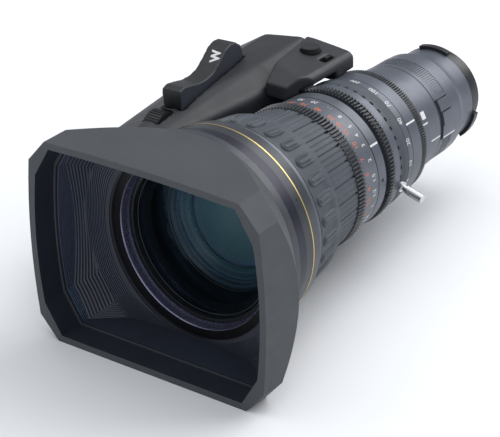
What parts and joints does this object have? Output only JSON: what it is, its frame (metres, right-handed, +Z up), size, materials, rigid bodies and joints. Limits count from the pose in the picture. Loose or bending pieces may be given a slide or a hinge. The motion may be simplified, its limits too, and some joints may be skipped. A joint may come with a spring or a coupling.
{
  "type": "camera zoom lens",
  "caption": "Broadcast zoom lens with a rectangular hood, geared focus, zoom and iris rings, a zoom lever, a bayonet flange and a servo hand grip with a rocker.",
  "frame": {"origin": "centre of the bayonet flange's rear face, on the optical axis", "axes": "+Y along the optical axis from the hood back to the camera, +Z up, +X to the right seen from the front, away from the grip"},
  "size_m": [0.1618, 0.2329, 0.1001],
  "materials": {
    "hood_grey": "satin",
    "ring_black": "satin",
    "body_grey": "satin",
    "bare_aluminium": "satin",
    "steel": "satin",
    "gold_ring": "polished",
    "grip_rubber": "matte",
    "grip_plastic": "textured",
    "control_plastic": "matte",
    "lens_glass": "polished",
    "board_green": "gloss",
    "gear_brass": "satin"
  },
  "bodies": {
    "body": {"lens_hood": "hood_grey", "hood_clamp_ring": "body_grey", "front_barrel": "body_grey", "gold_trim_ring": "gold_ring", "front_retainer": "ring_black", "front_element": "lens_glass", "main_tube": "body_grey", "relay_tube": "body_grey", "focus_index_ring": "body_grey", "zoom_index_ring": "body_grey", "iris_housing": "ring_black", "macro_index_ring": "body_grey", "rear_housing": "body_grey", "mount_flange": "ring_black", "mount_screws": "steel", "grip_shell": "grip_plastic", "grip_base": "grip_plastic", "control_panel": "grip_plastic", "rocker_pin": "steel", "zoom_motor": "steel", "iris_motor": "steel", "circuit_board": "board_green", "cable_gland": "control_plastic", "grip_screws": "steel"},
    "clamp_screw": {"hood_clamp_screw": "ring_black"},
    "focus_ring": {"focus_sleeve": "body_grey", "focus_rubber": "grip_rubber", "focus_gear": "ring_black"},
    "focus_group": {"focus_cell": "ring_black", "focus_element": "lens_glass"},
    "zoom_ring": {"zoom_sleeve": "body_grey", "zoom_rubber": "grip_rubber", "zoom_gear": "ring_black", "zoom_lever": "steel", "zoom_pin": "steel", "cam_tube": "bare_aluminium"},
    "variator_group": {"variator_cell": "ring_black", "variator_element": "lens_glass"},
    "compensator_group": {"compensator_cell": "ring_black", "compensator_element": "lens_glass"},
    "iris_control": {"iris_ring": "ring_black"},
    "relay_group": {"relay_cell": "ring_black", "relay_element": "lens_glass"},
    "back_focus": {"back_focus_ring": "body_grey"},
    "lock_screw": {"back_focus_lock": "ring_black"},
    "macro": {"macro_ring": "body_grey"},
    "macro_release": {"macro_button": "ring_black"},
    "rocker": {"zoom_rocker": "control_plastic"},
    "return_key": {"return_button": "control_plastic"},
    "record_key": {"record_button": "control_plastic"},
    "switch": {"mode_switch": "control_plastic"},
    "dial": {"speed_dial": "control_plastic"},
    "zoom_drive": {"zoom_drive_gear": "gear_brass"},
    "iris_drive": {"iris_drive_gear": "gear_brass"},
    "blade_1": {"iris_blade_1": "ring_black"},
    "blade_2": {"iris_blade_2": "ring_black"},
    "blade_3": {"iris_blade_3": "ring_black"},
    "blade_4": {"iris_blade_4": "ring_black"},
    "blade_5": {"iris_blade_5": "ring_black"},
    "blade_6": {"iris_blade_6": "ring_black"}
  },
  "joints": [
    {"name": "focus_turn", "type": "hinge", "parent": "body", "child": "focus_ring", "pos_m": [0, -0.13, 0], "axis": [0, -1, 0], "range_deg": [-55, 55]},
    {"name": "focus_slide", "type": "slide", "parent": "body", "child": "focus_group", "axis": [0, -1, 0], "range_m": [-0.003, 0.003]},
    {"name": "zoom_turn", "type": "hinge", "parent": "body", "child": "zoom_ring", "pos_m": [0, -0.08, 0], "axis": [0, -1, 0], "range_deg": [-42, 42]},
    {"name": "variator_slide", "type": "slide", "parent": "body", "child": "variator_group", "axis": [0, -1, 0], "range_m": [-0.016, 0.016]},
    {"name": "compensator_slide", "type": "slide", "parent": "body", "child": "compensator_group", "axis": [0, -1, 0], "range_m": [-0.004, 0.004]},
    {"name": "iris_turn", "type": "hinge", "parent": "body", "child": "iris_control", "pos_m": [0, -0.058, 0], "axis": [0, -1, 0], "range_deg": [-33, 33]},
    {"name": "blade_turn_1", "type": "hinge", "parent": "body", "child": "blade_1", "pos_m": [0.0214, -0.0577, 0], "axis": [0, -1, 0], "range_deg": [-9, 9]},
    {"name": "blade_turn_2", "type": "hinge", "parent": "body", "child": "blade_2", "pos_m": [0.0107, -0.0577, 0.01853], "axis": [0, -1, 0], "range_deg": [-9, 9]},
    {"name": "blade_turn_3", "type": "hinge", "parent": "body", "child": "blade_3", "pos_m": [-0.0107, -0.0577, 0.01853], "axis": [0, -1, 0], "range_deg": [-9, 9]},
    {"name": "blade_turn_4", "type": "hinge", "parent": "body", "child": "blade_4", "pos_m": [-0.0214, -0.0577, 0], "axis": [0, -1, 0], "range_deg": [-9, 9]},
    {"name": "blade_turn_5", "type": "hinge", "parent": "body", "child": "blade_5", "pos_m": [-0.0107, -0.0577, -0.01853], "axis": [0, -1, 0], "range_deg": [-9, 9]},
    {"name": "blade_turn_6", "type": "hinge", "parent": "body", "child": "blade_6", "pos_m": [0.0107, -0.0577, -0.01853], "axis": [0, -1, 0], "range_deg": [-9, 9]},
    {"name": "back_focus_turn", "type": "hinge", "parent": "body", "child": "back_focus", "pos_m": [0, -0.0506, 0], "axis": [0, -1, 0], "range_deg": [-10, 10]},
    {"name": "relay_slide", "type": "slide", "parent": "body", "child": "relay_group", "axis": [0, -1, 0], "range_m": [-0.0005, 0.0005]},
    {"name": "lock_turn", "type": "hinge", "parent": "back_focus", "child": "lock_screw", "pos_m": [-0.01473, -0.0506, -0.02358], "axis": [-0.5299, 0, -0.848], "range_deg": [0, 270]},
    {"name": "macro_turn", "type": "hinge", "parent": "body", "child": "macro", "pos_m": [0, -0.0286, 0], "axis": [0, -1, 0], "range_deg": [0, 35]},
    {"name": "macro_press", "type": "slide", "parent": "macro", "child": "macro_release", "axis": [0, -1, 0], "range_m": [0, 0.0015], "stiffness_N_per_m": 400},
    {"name": "clamp_turn", "type": "hinge", "parent": "body", "child": "clamp_screw", "pos_m": [-0.04725, -0.1837, -0.02513], "axis": [0.4695, 0, -0.8829], "range_deg": [0, 360]},
    {"name": "rocker_tip", "type": "hinge", "parent": "body", "child": "rocker", "pos_m": [-0.05555, -0.11202, 0.02982], "axis": [0.9945, 0.1045, 0], "range_deg": [-5, 5], "stiffness_Nm_per_rad": 0.4},
    {"name": "return_press", "type": "slide", "parent": "body", "child": "return_key", "axis": [0, 0, -1], "range_m": [0, 0.0012], "stiffness_N_per_m": 400},
    {"name": "record_press", "type": "slide", "parent": "body", "child": "record_key", "axis": [0, -1, 0], "range_m": [0, 0.0012], "stiffness_N_per_m": 400},
    {"name": "switch_slide", "type": "slide", "parent": "body", "child": "switch", "axis": [0, -1, 0], "range_m": [-0.0018, 0.0018]},
    {"name": "dial_turn", "type": "hinge", "parent": "body", "child": "dial", "pos_m": [-0.054, -0.148, 0.0246], "axis": [1, 0, 0], "range_deg": [-135, 135]},
    {"name": "zoom_drive_turn", "type": "hinge", "parent": "body", "child": "zoom_drive", "pos_m": [-0.04448, -0.08, 0.01192], "axis": [0, -1, 0], "range_deg": [-119, 119]},
    {"name": "iris_drive_turn", "type": "hinge", "parent": "body", "child": "iris_drive", "pos_m": [-0.04186, -0.058, -0.01524], "axis": [0, -1, 0], "range_deg": [-79, 79]}
  ],
  "couplings": [
    {"joint": "focus_slide", "follows": "focus_turn", "m_per_rad": 0.0031},
    {"joint": "variator_slide", "follows": "zoom_turn", "m_per_rad": 0.0218},
    {"joint": "compensator_slide", "follows": "zoom_turn", "m_per_rad": -0.0054},
    {"joint": "zoom_drive_turn", "follows": "zoom_turn", "ratio": -2.825},
    {"joint": "iris_drive_turn", "follows": "iris_turn", "ratio": -2.3636},
    {"joint": "relay_slide", "follows": "back_focus_turn", "m_per_rad": 0.0028},
    {"joint": "blade_turn_1", "follows": "iris_turn", "ratio": 0.27},
    {"joint": "blade_turn_2", "follows": "iris_turn", "ratio": 0.27},
    {"joint": "blade_turn_3", "follows": "iris_turn", "ratio": 0.27},
    {"joint": "blade_turn_4", "follows": "iris_turn", "ratio": 0.27},
    {"joint": "blade_turn_5", "follows": "iris_turn", "ratio": 0.27},
    {"joint": "blade_turn_6", "follows": "iris_turn", "ratio": 0.27}
  ]
}
